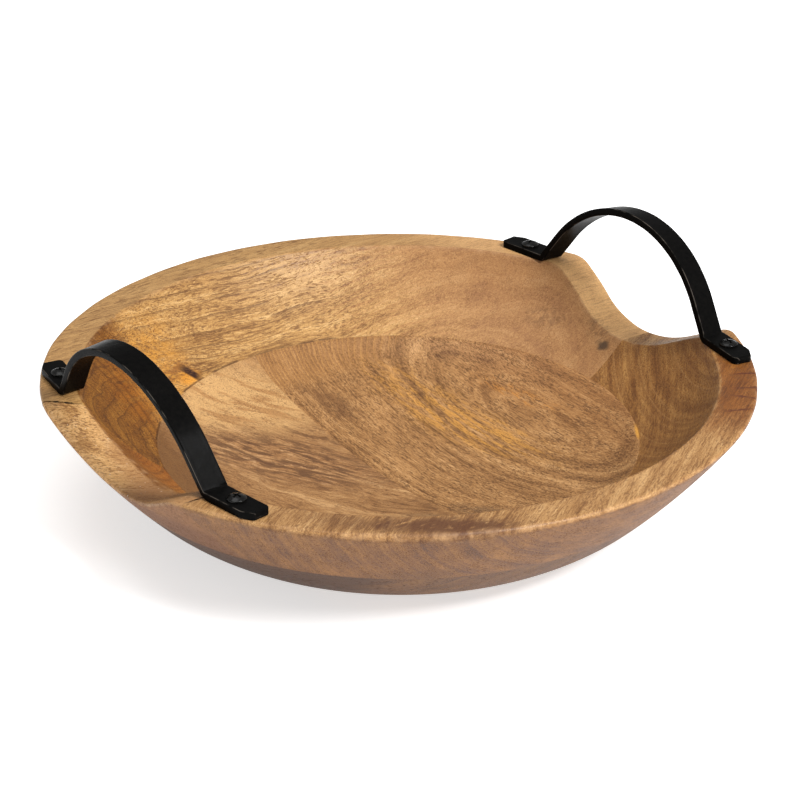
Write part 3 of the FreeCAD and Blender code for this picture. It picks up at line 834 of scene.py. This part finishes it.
def glue_bead(timber):
    """Squeezed-out glue along the level joint at the right of the hollow."""
    return timber.spot(98.5, -65.5, 10, 1.3, 57, 0.25, GLUE_Z, 1.4)


def rear_split(timber):
    return timber.vein((-163, 64.3), (-149, 55.2), 0.75, 1.0)


def front_split(timber):
    return timber.vein((-160, -63.4), (-146, -63.4), 0.6, 0.6)


def darken_split(timber, split):
    """Open joint, seen only on top of the rim."""
    timber.stain(split * timber.z.step(RIM_Z - 4, RIM_Z - 3), srgb(34, 24, 18))


def end_arcs(timber):
    """Nested dark arcs where the wall cuts across the grain under the left handle."""
    x, y, z = timber.x + 136, timber.y - 58, timber.z - GLUE_Z - 24
    year = ((x * x + y * y + z * z * 2).sqrt() + timber.drift * 0.3) / 3.4
    return timber.noise(year, detail=3, rough=0.7).step(0.42, 0.66)


def brown_plank_wood():
    """Flat-sawn plank whose oval rings lie beside the wall at the right of the floor."""
    timber = Timber("wood_brown_plank", 90, (90, 0, -10), 2.0, 0.4, 4.0)
    pores = timber.pores(3.2, 0.45, 0.55, 0.61)
    tone = timber.figure(0.7, 0.9, 1.0) - timber.late_wood(6) * 0.06
    timber.ramp(tone, (0.24, srgb(112, 75, 40)), (0.42, srgb(157, 113, 67)),
                (0.58, srgb(180, 134, 83)), (0.78, srgb(204, 158, 105)))
    red = timber.x.step(60, 130)
    timber.stain(red * 0.5, srgb(162, 110, 62))
    ring_arc = timber.ring.step(8.2, 9.0) * timber.ring.step(10.4, 9.4) * timber.x.step(60, 84) \
        * timber.y.step(30, -20)
    timber.stain(ring_arc * 0.5, srgb(138, 80, 44))
    gold = timber.spot(54, 25, 78, 18, 97) * timber.stretched(24, 2.2, 8.8).step(0.42, 0.6)
    timber.stain(gold * 0.85, srgb(208, 150, 70))
    ember = timber.spot(90, 20, 34, 6, 100) * timber.stretched(9, 2, 6.1).step(0.46, 0.6)
    timber.stain(ember * 0.6, srgb(196, 132, 60))
    shade = timber.spot(9, 73, 30, 10, 104) * timber.stretched(14, 4, 2.9).step(0.36, 0.58)
    timber.stain(shade * 0.7, srgb(118, 80, 46))
    dusk = timber.spot(4, -66, 24, 8, 112) * timber.stretched(9, 2.6, 4.7).step(0.36, 0.55)
    timber.stain(dusk * 0.6, srgb(104, 80, 56))
    timber.stain(pores * 0.7, srgb(90, 58, 32))
    cove = timber.y.step(88, 100) * timber.x.step(90, 60)
    timber.stain(cove * 0.45, srgb(154, 108, 62))
    timber.stain(cove * timber.late_wood(3) * 0.5, srgb(206, 152, 84))
    timber.stain(glue_bead(timber) * 0.9, GLUE)
    return wood_finish(timber, tone, pores, outside_dry_and_shade_tint=LOWER_OUTSIDE_DRY_AND_SHADE)


def pale_plank_wood():
    """Plank with a crotch: pale far part, partly a painted highlight; dark feathered strokes; curved
    grain near the front; painted shade at the left end.
    """
    timber = Timber("wood_pale_plank", 122, (-60, 20, -24), 3.0, 1.3, 9.0, (60, 34))
    pores = timber.pores(3.2, 0.45, 0.57, 0.64)
    tone = timber.figure(0.8, 0.9, 0.9)
    timber.ramp(tone, (0.24, srgb(112, 75, 42)), (0.42, srgb(154, 111, 67)),
                (0.6, srgb(176, 132, 84)), (0.8, srgb(198, 155, 105)))
    # Pale far part: partly the wood's own pale figure, partly a painted highlight.
    pale = timber.spot(-40, 92, 64, 36, -8)
    timber.stain(pale * 0.85, srgb(216, 172, 114))
    ahead, aside = timber.turned(-46, 40, -40)
    smudge = pale * timber.noise(ahead / 20, aside / 4 + timber.seed, timber.z / 12,
                                 detail=4).step(0.48, 0.62)
    timber.stain(smudge * 0.75, srgb(170, 122, 72))
    # Painted shade on the left end of the floor, below the shaded left wall.
    left_end = timber.x.step(-80, -98)
    timber.stain(left_end * 0.88, srgb(113, 75, 38))
    feather = timber.spot(-44, 36, 62, 30, -42, 0.45)
    timber.stain(feather * 0.45, srgb(160, 114, 72))
    ahead, aside = timber.turned(-46, 40, -50)
    bent = aside + timber.drift * 0.8
    strokes = timber.noise(ahead / 13 + timber.seed, bent / 2.1, timber.z / 12, detail=4, rough=0.62)
    timber.stain(feather * strokes.step(0.46, 0.56) * 0.85, srgb(98, 66, 42))
    timber.stain(feather * strokes.step(0.43, 0.34) * 0.65, srgb(210, 166, 118))
    veins = timber.vein((-84, 58), (-30, 22), 1.9, 8).at_least(timber.vein((-70, 70), (-40, 50), 1.5, 7))
    veins = veins.at_least(timber.vein((-24, 62), (-8, 38), 1.6, 7))
    timber.stain(veins * 0.55, srgb(92, 58, 36))
    dusk = timber.spot(-16, -62, 26, 8, -60) * timber.stretched(9, 2.6, 4.7).step(0.36, 0.55)
    timber.stain(dusk * 0.6, srgb(108, 86, 62))
    timber.stain(pores * 0.55, srgb(100, 66, 40))
    return wood_finish(timber, tone, pores, outside_dry_and_shade_tint=LOWER_OUTSIDE_DRY_AND_SHADE)


def rear_block_wood():
    """Honey-coloured block with long dark broken lines, an orange patch and two knots."""
    timber = Timber("wood_rear_block", 0, (0, 60, -40), 3.4, 1.0, 2.0, (110, 36))
    wall = timber.mark("wall")
    pores = timber.pores(6.5, 0.55, 0.56, 0.62)
    tone = timber.figure(0.75, 1.2, 0.8)
    timber.ramp(tone, (0.22, srgb(122, 82, 42)), (0.4, srgb(175, 131, 74)),
                (0.58, srgb(200, 155, 93)), (0.8, srgb(220, 179, 119)))
    rim = timber.z.step(RIM_Z - 2, RIM_Z - 0.5)
    timber.stain(rim * 0.5, srgb(180, 138, 88))
    broken = timber.stretched(30, 6, 4.1) + timber.x / 420
    lines = (timber.ring / 2.1).fraction() ** 10 * broken.step(0.58, 0.44)
    timber.stain(lines * wall * 0.85, srgb(88, 56, 30))
    mottle = timber.spot(-24, 132, 62, 26, 0) * timber.stretched(2.4, 1.0, 9.4).step(0.5, 0.62)
    timber.stain(mottle * 0.6, srgb(132, 90, 50))
    orange = timber.spot(-82, 104, 46, 22, 45) * timber.stretched(14, 4, 1.7).step(0.3, 0.55)
    timber.stain(orange * 0.75, srgb(214, 150, 58))
    arcs = wall * timber.x.step(20, 60) * timber.x.step(112, 84)
    timber.stain(arcs * timber.late_wood(3) * 0.35, srgb(160, 98, 56))
    brown = timber.x.step(52, 124) * (wall * 0.7 + 0.3)
    timber.stain(brown * 0.62, srgb(182, 131, 88))
    # Lighter scoop top: partly paler wood, partly a painted highlight.
    scoop = timber.x.step(90, 130) * (1 - wall)
    timber.stain(scoop * 0.6, srgb(224, 176, 120))
    halo = timber.spot(-53, 110.5, 10, 6, 20, 0.3, GLUE_Z + 3, 5)
    timber.stain(halo * 0.85, srgb(222, 150, 50))
    smoke = timber.spot(-60, 112, 15, 8, 20, 0.5, GLUE_Z + 10, 9)
    smoke *= timber.stretched(7, 2, 6.6).step(0.4, 0.55)
    timber.stain(smoke * 0.75, srgb(138, 84, 34))
    slit = (timber.z - GLUE_Z - 4) * 0.9 + (timber.x + 51.5) * 0.7
    eye = slit.absolute().step(2.4, 1.1) * timber.spot(-51.5, 112, 8.5, 8.5, 0, 0.1, GLUE_Z + 4, 7)
    timber.stain(eye, srgb(52, 26, 14))
    knot = timber.spot(135, 5, 4.6, 4.2, 70, 0.7, RIM_Z - 26, 3.4)
    timber.stain(knot * 0.85, srgb(64, 50, 38))
    clouds = timber.stretched(9, 3, 5.9).step(0.4, 0.6)
    shade = timber.spot(129, 45, 18, 7, 112, 0.5, RIM_Z - 23, 12) * clouds
    timber.stain(shade * 0.45, srgb(116, 80, 54))
    smear = timber.spot(138, 12, 16, 8, 80, 0.6, RIM_Z - 19, 8)
    smear *= timber.stretched(6, 2, 3.3).step(0.4, 0.6)
    timber.stain(smear * 0.45, srgb(104, 76, 50))
    timber.stain(pores * (0.65 - timber.x.step(40, 80) * 0.35), srgb(110, 72, 38))
    timber.stain(seam(timber) * wall * 0.7, srgb(74, 46, 26))
    darken_split(timber, rear_split(timber))
    left_end = timber.x.step(-76, -98)
    timber.stain(end_arcs(timber) * left_end * wall * 0.5, srgb(116, 72, 34))
    # Painted shade on the left end of the inner wall.
    timber.stain(left_end * wall, LEFT_WALL_SHADE_TINT, "MULTIPLY")
    # Painted shade over the right part of the inner wall.
    return wood_finish(timber, tone, pores, wall_shade_share=timber.x.step(70, 150) * 0.3)


def front_block_wood():
    """Tan block with diagonal flecks, a dark stained patch and a brown figured right end."""
    timber = Timber("wood_front_block", 34, (141, -75, 74), 3.0, 0.7, 6.0, (80, 30))
    wall = timber.mark("wall")
    pores = timber.pores(2.8, 0.55, 0.55, 0.62)
    tone = timber.figure(0.9, 0.8, 0.9)
    timber.ramp(tone, (0.24, srgb(120, 80, 42)), (0.42, srgb(158, 115, 68)),
                (0.6, srgb(178, 135, 85)), (0.8, srgb(200, 158, 106)))
    orange = timber.spot(120, -110, 62, 30, 46) * (1 - wall)
    timber.stain(orange * 0.9, srgb(188, 146, 80), "MULTIPLY")
    bars = timber.vein((128, -101), (141, -108), 1.3, 1.5)
    for start, end in (((118, -113.5), (132, -121)), ((112, -119), (121, -131)),
                       ((97, -129.6), (110, -135.6))):
        bars = bars.at_least(timber.vein(start, end, 1.2, 1.5))
    timber.stain(bars * 0.8, srgb(84, 38, 22))
    smears = timber.noise(timber.x / 8, timber.y / 2.4, timber.z / 3, detail=4).step(0.26, 0.46)
    dark = timber.spot(-78, -147, 42, 11, -37, 0.5) + timber.spot(-112, -118, 22, 9, -50, 0.5) * 0.35
    timber.stain(dark * smears * (0.9 - timber.mark("outside") * 0.8), srgb(90, 53, 30))
    arch = timber.spot(-76, -124, 26, 12, -30, 0.4, GLUE_Z + 8, 12) * timber.mark("outside")
    timber.stain(arch * 0.5, srgb(104, 72, 50))
    # The wall cuts wide rings whose middle line runs high above the left handle.
    turn = math.radians(64.3)
    aside = timber.y * math.cos(turn) - timber.x * math.sin(turn) - 154.2
    rise = timber.z - 149.3
    year = ((aside * aside + rise * rise).sqrt() + timber.drift * 0.1) / 1.9
    bands = timber.noise(year * 0.7).step(0.4, 0.62)
    timber.stain(bands * wall * 0.45, srgb(122, 80, 44))
    arcs = year.fraction() ** 6 * timber.noise(year * 0.9 + 7, detail=1).step(0.42, 0.6)
    timber.stain(arcs * wall * 0.4, srgb(206, 166, 124))
    timber.stain(pores * 0.5, srgb(104, 68, 40))
    timber.stain(glue_bead(timber) * 0.9, GLUE)
    darken_split(timber, front_split(timber))
    # Painted shade on the inner wall, multiplied by a light tan.
    return wood_finish(timber, tone, pores, srgb(240, 226, 192), 1.0)


def left_block_wood():
    """Golden block with short wavy dark flecks."""
    timber = Timber("wood_left_block", -35, (-120, 0, 110), 4.2, 0.9, 11.0, (60, 26))
    wall = timber.mark("wall")
    pores = timber.pores(3.0, 0.7, 0.54, 0.64)
    tone = timber.figure(0.8, 0.8, 0.9)
    timber.ramp(tone, (0.24, srgb(156, 110, 62)), (0.42, srgb(206, 157, 97)),
                (0.6, srgb(227, 180, 120)), (0.8, srgb(240, 201, 147)))
    reach = (timber.x * timber.x + timber.y * timber.y).sqrt()
    # Painted shade: the front of the left rim beside the wall is darkened, so the shaded wall seems to
    # reach further out.
    near = timber.y.step(16, -14) * (1 - wall) * (reach.step(166, 158) * 0.3 + 0.65)
    timber.stain(near, srgb(150, 104, 62))
    timber.stain(pores * 0.7, srgb(122, 78, 42))
    amber = timber.spot(-124, 22, 30, 18, 70) * wall
    timber.stain(amber * 0.5, srgb(206, 128, 46))
    timber.stain(end_arcs(timber) * wall * 0.5, srgb(116, 72, 34))
    timber.stain(seam(timber) * wall * 0.7, srgb(94, 60, 34))
    # Painted shade dulls the rounded inner edge of the left scoop where it catches the light.
    lip_shade = timber.y.step(48, 30) * timber.z.step(41, 49) * reach.step(156, 146)
    timber.stain(lip_shade * 0.55, srgb(160, 112, 66))
    dust = timber.blotches(0.9, detail=0).step(0.8, 0.84)
    timber.stain(dust * 0.8, srgb(240, 224, 200))
    darken_split(timber, rear_split(timber).at_least(front_split(timber)))
    # Painted shade on the inner wall under the handle.
    return wood_finish(timber, tone, pores, LEFT_WALL_SHADE_TINT, 1.0)


def enamel():
    """Black satin paint over beaten iron, grey on the edges with rubbed wear and a painted highlight."""
    paint = Paint("black_enamel")
    dust = paint.blotches(2.2, detail=5, rough=0.7)
    beaten = paint.blotches(6)
    shear = paint.noise(paint.mark("run") / 0.9, detail=3) * paint.mark("flank")
    paint.ramp(dust, (0.3, srgb(9, 9, 9)), (0.7, srgb(16, 15, 14)))
    worn = paint.mark("edge").step(0.5, 1) * paint.blotches(9, detail=4).step(0.4, 0.6)
    # Grey edges: partly rubbed paint, partly a painted highlight.
    paint.stain(worn * 0.4, srgb(128, 118, 108))
    roughness = (dust - 0.5) * 0.2 + 0.3 + shear * 0.08
    height = beaten * 0.5 + dust * 0.12 + shear * 0.25
    return paint.finish(roughness, paint.bump(height, 0.2), Specular_IOR_Level=0.012)


def screw_enamel():
    paint = Paint("black_screw")
    dust = paint.blotches(1.1, detail=5, rough=0.7)
    worn = paint.mark("edge") * dust.step(0.5, 0.64)
    paint.ramp(dust, (0.3, srgb(7, 7, 7)), (0.7, srgb(16, 15, 14)))
    # Grey rim: partly rubbed paint, partly a painted highlight.
    paint.stain(worn * 0.12, srgb(104, 96, 88))
    roughness = (dust - 0.5) * 0.2 + 0.22
    return paint.finish(roughness, paint.bump(dust, 0.06), Specular_IOR_Level=0.25)


# --- stage -----------------------------------------------------------------------------------

FLOOR_REACH = 14.0
LIT_PLACE = Vector((0, 0, 0.03))


def make_floor():
    mesh = bpy.data.meshes.new("floor")
    reach = FLOOR_REACH
    mesh.from_pydata([(-reach, -reach, 0), (reach, -reach, 0), (reach, reach, 0), (-reach, reach, 0)],
                     [], [(0, 1, 2, 3)])
    material = bpy.data.materials.new("floor")
    material.use_nodes = True
    shader = material.node_tree.nodes["Principled BSDF"]
    shader.inputs["Base Color"].default_value = (0.93, 0.93, 0.93, 1)
    shader.inputs["Roughness"].default_value = 0.9
    shader.inputs["Emission Color"].default_value = (1, 1, 1, 1)
    shader.inputs["Emission Strength"].default_value = 0.6
    mesh.materials.append(material)
    floor = bpy.data.objects.new("floor", mesh)
    bpy.context.scene.collection.objects.link(floor)


def softbox(name, place, width, power):
    lamp = bpy.data.lights.new(name, "AREA")
    lamp.shape = "SQUARE"
    lamp.size = width
    lamp.energy = power
    box = bpy.data.objects.new(name, lamp)
    bpy.context.scene.collection.objects.link(box)
    box.location = place
    box.rotation_euler = (LIT_PLACE - Vector(place)).to_track_quat("-Z", "Y").to_euler()


def make_lights():
    world = bpy.data.worlds.new("studio")
    bpy.context.scene.world = world
    world.use_nodes = True
    sky = world.node_tree.nodes["Background"]
    sky.inputs["Color"].default_value = (1, 1, 1, 1)
    sky.inputs["Strength"].default_value = 0.36
    softbox("key", (0.2, -1.25, 1.3), 0.55, 36)
    softbox("top", (-0.2, 0.3, 1.8), 1.0, 8)


CAMERA_AZIMUTH = math.radians(-35.643)
CAMERA_ELEVATION = math.radians(24.777)
CAMERA_DISTANCE = 1.2743
CAMERA_ROLL = math.radians(0.347)


def make_camera():
    """Looks at the middle of the rim; the shift alone frames the bowl low in the picture."""
    data = bpy.data.cameras.new("camera")
    data.lens = 117.21
    data.sensor_width = 36
    data.shift_x = 0.00133
    data.shift_y = -0.0428
    camera = bpy.data.objects.new("camera", data)
    bpy.context.scene.collection.objects.link(camera)
    back = Vector((math.sin(CAMERA_AZIMUTH) * math.cos(CAMERA_ELEVATION),
                   -math.cos(CAMERA_AZIMUTH) * math.cos(CAMERA_ELEVATION),
                   math.sin(CAMERA_ELEVATION)))
    camera.location = Vector((0, 0, RIM_Z * MM)) + back * CAMERA_DISTANCE
    aim = (-back).to_track_quat("-Z", "Y").to_matrix() @ Matrix.Rotation(CAMERA_ROLL, 3, "Z")
    camera.rotation_euler = aim.to_euler()
    bpy.context.scene.camera = camera
    bpy.context.scene.view_settings.view_transform = "Standard"


# --- assembly --------------------------------------------------------------------------------

make_floor()
make_lights()
make_camera()

base_plank("base_plank_left", -1, pale_plank_wood())
base_plank("base_plank_right", 1, brown_plank_wood())
rear_left_crack = crack(160, 176, 0.6, 0.6)
front_left_crack = crack(160, 170, 0.5, 0.3)
rim_block("rim_block_rear", RIGHT_JOINT, REAR_LEFT_JOINT, (None, rear_left_crack),
          rear_block_wood())
rim_block("rim_block_left", REAR_LEFT_JOINT, FRONT_LEFT_JOINT, (rear_left_crack, front_left_crack),
          left_block_wood())
rim_block("rim_block_front", FRONT_LEFT_JOINT, RIGHT_JOINT, (front_left_crack, None),
          front_block_wood())
black = enamel()
for side in (-1, 1):
    strap(side, black)
screw_black = screw_enamel()
for place, turn in SCREW_TURNS.items():
    screw(f"screw_{place}", turn, screw_black)
